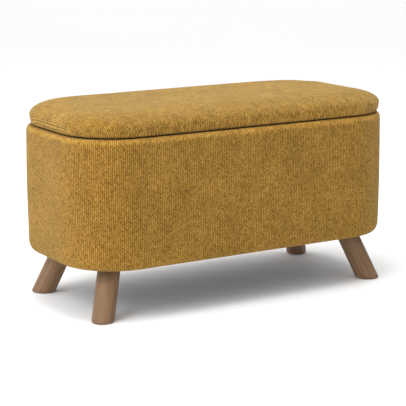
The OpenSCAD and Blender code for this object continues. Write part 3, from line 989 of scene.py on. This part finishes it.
def inside_loop(q, loop):
    """True for the points of q that lie inside the closed loop."""
    p, n = np.array(loop), np.roll(np.array(loop), -1, axis=0)
    x, y = q[:, 0:1], q[:, 1:2]
    spans = (p[:, 1] > y) != (n[:, 1] > y)
    rise = np.where(n[:, 1] == p[:, 1], 1.0, n[:, 1] - p[:, 1])
    cross = (n[:, 0] - p[:, 0]) * (y - p[:, 1]) / rise + p[:, 0]
    return (spans & (x < cross)).sum(axis=1) % 2 == 1


def inside_all(q, loops):
    """True inside the first loop and outside the others."""
    good = inside_loop(q, loops[0])
    for hole in loops[1:]:
        good &= ~inside_loop(q, hole)
    return good


def fill_outline(outline, spacing, holes=()):
    """Triangles that fill a plan outline but for its holes, with inner points spacing apart."""
    loops = [list(outline)]
    for x0, x1, y0, y1 in holes:
        loops.append([(x0, y0), (x1, y0), (x1, y1), (x0, y1)])
    points, edges = [], []
    for loop in loops:
        first = len(points)
        points += loop
        edges += [(first + i, first + (i + 1) % len(loop)) for i in range(len(loop))]
    rim = np.array(points)
    lo, hi = rim.min(0), rim.max(0)
    grid = []
    for i in range(int((hi[0] - lo[0]) / spacing)):
        for j in range(int((hi[1] - lo[1]) / spacing)):
            grid.append((lo[0] + spacing * (i + 0.5 * (j % 2)), lo[1] + spacing * j))
    grid = np.array(grid)
    clear = np.array([np.min(np.sum((rim - q) ** 2, axis=1)) > (0.6 * spacing) ** 2 for q in grid])
    points += [tuple(q) for q in grid[clear & inside_all(grid, loops)]]
    verts, _, faces, _, _, _ = delaunay_2d_cdt([Vector(p) for p in points], edges, [], 0, 1e-7, True)
    plan = np.array([tuple(v) for v in verts])
    tri = np.array([f[:3] for f in faces])
    p0, p1, p2 = plan[tri[:, 0]], plan[tri[:, 1]], plan[tri[:, 2]]
    side_a, side_b = p1 - p0, p2 - p0
    twice = side_a[:, 0] * side_b[:, 1] - side_a[:, 1] * side_b[:, 0]
    tri = np.where((twice < 0)[:, None], tri[:, ::-1], tri)
    keep = (np.abs(twice) > 1e-9) & inside_all((p0 + p1 + p2) / 3, loops)
    return plan, [tuple(int(i) for i in f) for f in tri[keep]]


def declare_panel(outline, holes=()):
    """Works out the area of a cloth panel of this outline, less its holes, stapled flat to a board;
    nothing uses the area.
    """
    p = np.array(outline)
    q = np.roll(p, -1, axis=0)
    area = abs(float((p[:, 0] * q[:, 1] - p[:, 1] * q[:, 0]).sum()) / 2)
    area -= sum((x1 - x0) * (y1 - y0) for x0, x1, y0, y1 in holes)


def make_lining_wall():
    """The black lining stretched round the inside of the walls, slack by a millimetre or two."""
    lo, hi = LINING_LO.z + 1.2 * MM, LINING_HI.z - 0.3 * MM
    path = lining_path(LINING_U - 0.4 * MM, 0.9 * MM)
    rows = 22
    verts = []
    for (x, y), (nx, ny) in zip(path, path_normals(path)):
        for k in range(rows + 1):
            t = k / rows
            z = lo + (hi - lo) * t
            free = math.sin(math.pi * t) ** 0.5
            slack = noise.noise(Vector((x * 16, y * 16, z * 3.0)))
            slack += 0.4 * noise.noise(Vector((x * 50, y * 50, z * 12)))
            depth = max(free * (0.8 + 1.1 * slack) * MM, 0.0)
            verts.append((x + nx * depth, y + ny * depth, z))
    obj = make_object("lining_wall", verts, net_faces(len(path), rows + 1, close_rows=True))
    add_thickness(obj, LINING_T)
    stand_in(obj, LINING, "carcass", "inner_lining")


def make_lining_floor():
    """The lining's floor panel, glued down, lifted a little over the flanges of the leg nuts."""
    outline = lining_path(LINING_U - 1.4 * MM, 1.8 * MM)
    plan, faces = fill_outline(outline, 9 * MM)
    nut_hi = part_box("tee_nuts")[1]
    nut_radius = 11 * MM
    verts = []
    for x, y in plan:
        near = math.hypot(abs(x) - (nut_hi.x - nut_radius), abs(y) - (nut_hi.y - nut_radius))
        lift = 0.5 * MM * max(0.0, 1 - near / (20 * MM))
        lift += max(0.0, 0.35 * MM * (slackness(x, y, (11, 5), (35, 8)) + 0.3))
        verts.append((x, y, LINING_LO.z + 0.05 * MM + lift))
    obj = make_object("lining_floor", verts, faces)
    add_thickness(obj, LINING_T)
    stand_in(obj, LINING, "carcass", "inner_lining")
    declare_panel(outline)


def stepped_cloth(name, u_edge, u_step, z_edge, z_mid, holes=()):
    """A panel stapled near its edge at z_edge, and lying at z_mid inside the cover's edge at u_step.

    Away from its staples it hangs down by a fraction of a millimetre.
    """
    outline = [tuple(p) for p in plan_outline(u_edge, 7 * MM)]
    plan, faces = fill_outline(outline, 10 * MM, holes)
    _, _, u = plan_split(plan)
    verts = []
    for (x, y), at in zip(plan, u):
        z = z_mid + (z_edge - z_mid) * eased(at, u_step - 3 * MM, u_step + 3 * MM)
        tight = max(0.0, 1 - abs(at - (u_edge - STAPLE_IN)) / (9 * MM))
        z -= 0.25 * MM * max(0.0, slackness(x, y, (14, 3), (45, 7)) + 0.4) * (1 - tight)
        verts.append((x, y, z))
    obj = make_object(name, verts, faces)
    add_thickness(obj, -BACKING_T)
    return obj, outline


def make_dust_cover():
    """The black cloth under the box."""
    lo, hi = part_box("dust_cover")
    z_edge, z_mid = lo.z + 0.75 * MM, hi.z - 0.1 * MM
    obj, outline = stepped_cloth("underside_cloth", hi.y - MID_Y, COVER_END_U, z_edge, z_mid)
    stand_in(obj, UNDERCLOTH, "carcass", "dust_cover")
    declare_panel(outline)


def bracket_holes():
    """Rectangles cut from the lid's backing for the stay bracket flanges."""
    lo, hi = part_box("right_lid_bracket")
    gap = 1 * MM
    holes = []
    for sx in (-1, 1):
        xs = sorted((sx * (lo.x - gap), sx * (hi.x + gap)))
        holes.append((*xs, lo.y - gap, hi.y + gap))
    return holes


def make_lid_backing():
    """The black cloth under the lid."""
    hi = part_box("lid_backing")[1]
    holes = bracket_holes()
    z_edge, z_mid = LID_LO.z - 0.05 * MM, hi.z - 0.1 * MM
    obj, outline = stepped_cloth("lid_lining", hi.y - MID_Y, LID_COVER_END_U, z_edge, z_mid, holes)
    stand_in(obj, LINING, "lid", "lid_backing")
    declare_panel(outline, holes)


def make_staples(name, node, body, rise=0.0, skip=()):
    """Wire staples under a cloth, near its edge, each slightly turned, their ends in the cloth.

    rise lifts the row from the node's underside, and skip has the rectangles without staples.
    """
    lo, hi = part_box(node)
    u, z = hi.y - MID_Y - STAPLE_IN, lo.z + rise
    centres, normals, _, _ = plan_columns(columns_for(u, STAPLE_PITCH), u)
    # The wire's section and the line that it follows, in millimetres.
    section = [(0.5, 0.0), (0.35, 0.45), (-0.35, 0.45), (-0.5, 0.0), (-0.35, -0.35), (0.35, -0.35)]
    rising = [(-5.0, -0.9), (-5.0, -0.1), (-4.75, 0.35), (-4.2, 0.5)]
    spine = rising + [(-s, h) for s, h in rising[::-1]]
    down = Vector((0, 0, -1))
    verts, faces = [], []
    for i, (c, n) in enumerate(zip(centres, normals)):
        turn = 0.22 * noise.noise(Vector((i * 1.7, 2.5, u)))
        off = 1.5 * noise.noise(Vector((i * 2.3, 7.5, u)))
        place = Vector((c[0] + n[0] * (u + off * MM), c[1] + n[1] * (u + off * MM), z))
        if any(in_rectangle(r, place) for r in skip):
            continue
        out = Vector((n[0], n[1], 0))
        along = Vector((-n[1], n[0], 0))
        cos, sin = math.cos(turn), math.sin(turn)
        along, out = along * cos + out * sin, out * cos - along * sin
        first = len(verts)
        for k, (s, h) in enumerate(spine):
            on_crown = 1 < k < 6
            width = 1.0 if on_crown else 0.75
            for a, b in section:
                bend = b * 0.5 if on_crown else 0.0
                side = 0.0 if on_crown else (b if s < 0 else -b) * 0.5
                p = place + along * (s + side) * MM + down * (h + bend) * MM
                verts.append(p + out * a * 0.9 * width * MM)
        m = len(section)
        faces += net_faces(len(spine), m, close_columns=True, first=first)
        faces.append(tuple(range(first, first + m))[::-1])
        faces.append(tuple(range(len(verts) - m, len(verts))))
    obj = paint(make_object(name, verts, faces), ZINC)
    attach(obj, body)


# ---- hardware and timber: the CAD nodes keep their shape ----

CAD_FINISHES = (
    (PLY, "joint_battens stay_posts lid_board base_board"),
    (PLY, "front_rail rear_rail left_end_rail right_end_rail"),
    (BOARD, "front_panel rear_panel left_end_panel right_end_panel"),
    (ZINC, "base_screws rim_screws leg_bolts tee_nuts hinge_pins stay_rivets stay_studs"),
    (ZINC, "box_hinge_screws lid_hinge_screws wall_bracket_screws lid_bracket_screws"),
    (HINGE_STEEL, "left_hinge_box_leaf right_hinge_box_leaf left_hinge_lid_leaf right_hinge_lid_leaf"),
    (STAY_STEEL, "left_wall_bracket right_wall_bracket left_lid_bracket right_lid_bracket"),
    (STAY_STEEL, "left_stay_arm right_stay_arm"),
    (GLIDE, "leg_glides"),
    (RUBBER, "lid_bumpers"),
)


def finish_node(node, mat):
    """Gives a CAD node its material, with its flat faces kept crisp."""
    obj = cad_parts[node]
    if not obj.material_slots:
        obj.data.materials.append(mat)
    for s in obj.material_slots:
        s.material = mat
    obj.data.shade_smooth()
    sharp = obj.modifiers.new("crisp", "EDGE_SPLIT")
    sharp.split_angle = math.radians(35)


# ---- studio ----


def make_stage():
    """A pale floor that curves up into a pale backdrop behind the object."""
    p = Paint("studio_floor")
    cloud = p.noise(p.place, 0.6, 2)
    p.put(p.between(cloud, 0.95, 0.965), p.shader.inputs["Base Color"])
    p.put(0.9, p.shader.inputs["Roughness"])
    p.put(0.1, p.shader.inputs["Specular IOR Level"])
    near, far, bend, height, half_width = -9.0, 5.0, 2.5, 9.0, 12.0
    profile = [(near, 0.0), (far, 0.0)]
    for i in range(1, 13):
        a = math.radians(90 * i / 12)
        profile.append((far + bend * math.sin(a), bend - bend * math.cos(a)))
    profile.append((far + bend, height))
    verts = [(x, d, z) for d, z in profile for x in (-half_width, half_width)]
    obj = make_object("floor", verts, net_faces(len(profile), 2))
    obj.rotation_euler = (0, 0, math.radians(VIEW_AZ))
    paint(obj, p.mat)


def view_back(az, el):
    """The direction from the object to a viewer or light, from angles in degrees."""
    a, e = math.radians(az), math.radians(el)
    return Vector((math.sin(a) * math.cos(e), -math.cos(a) * math.cos(e), math.sin(e)))


def make_camera():
    data = bpy.data.cameras.new("camera")
    data.lens = LENS
    data.sensor_width = 36.0
    data.dof.use_dof = False
    cam = linked("camera", data)
    back = view_back(VIEW_AZ, VIEW_EL)
    cam.location = VIEW_AT + back * VIEW_DISTANCE
    roll = Matrix.Rotation(math.radians(VIEW_ROLL), 3, "Z")
    cam.rotation_euler = (back.to_track_quat("Z", "Y").to_matrix() @ roll).to_euler()
    bpy.context.scene.camera = cam


def make_light(name, az, el, distance, size, power):
    """A round soft light aimed at the middle of the object."""
    data = bpy.data.lights.new(name, "AREA")
    data.shape = "DISK"
    data.size = size
    data.energy = power
    obj = linked(name, data)
    back = view_back(az, el)
    obj.location = Vector((0, 0, 0.25)) + back * distance
    obj.rotation_euler = back.to_track_quat("Z", "Y").to_euler()


def make_world():
    """White light from all round, brightest from the upper left and faintest from the other side."""
    scene = bpy.context.scene
    scene.world = bpy.data.worlds.new("studio")
    n = Nodes(scene.world)
    sky = n.tree.nodes["Background"]
    towards = n.add("VectorMath", operation="DOT_PRODUCT")
    n.put(n.add("TexCoord").outputs["Generated"], towards.inputs[0])
    n.put(view_back(-120, 40), towards.inputs[1])
    span = {"From Min": -1.0, "From Max": 1.0, "To Min": 0.03, "To Max": 1.38}
    soft = n.add("MapRange", Value=towards.outputs["Value"], **span)
    n.put((1, 1, 1), sky.inputs["Color"])
    n.put(soft.outputs["Result"], sky.inputs["Strength"])


def make_lights():
    make_world()
    make_light("key", az=-75, el=38, distance=3.2, size=1.8, power=35)
    make_light("top", az=0, el=85, distance=3.0, size=2.2, power=48)
    bpy.context.scene.view_settings.view_transform = "Standard"


make_box_cover()
make_wadding()
make_lid_cover()
make_seat_foam()
make_legs()
make_lining_wall()
make_lining_floor()
make_dust_cover()
make_lid_backing()
make_staples("underside_staples", "dust_cover", "carcass")
make_staples("lid_staples", "lid_backing", "lid", rise=-0.2 * MM, skip=bracket_holes())
for finish, nodes in CAD_FINISHES:
    for node in nodes.split():
        finish_node(node, finish)
make_stage()
make_camera()
make_lights()
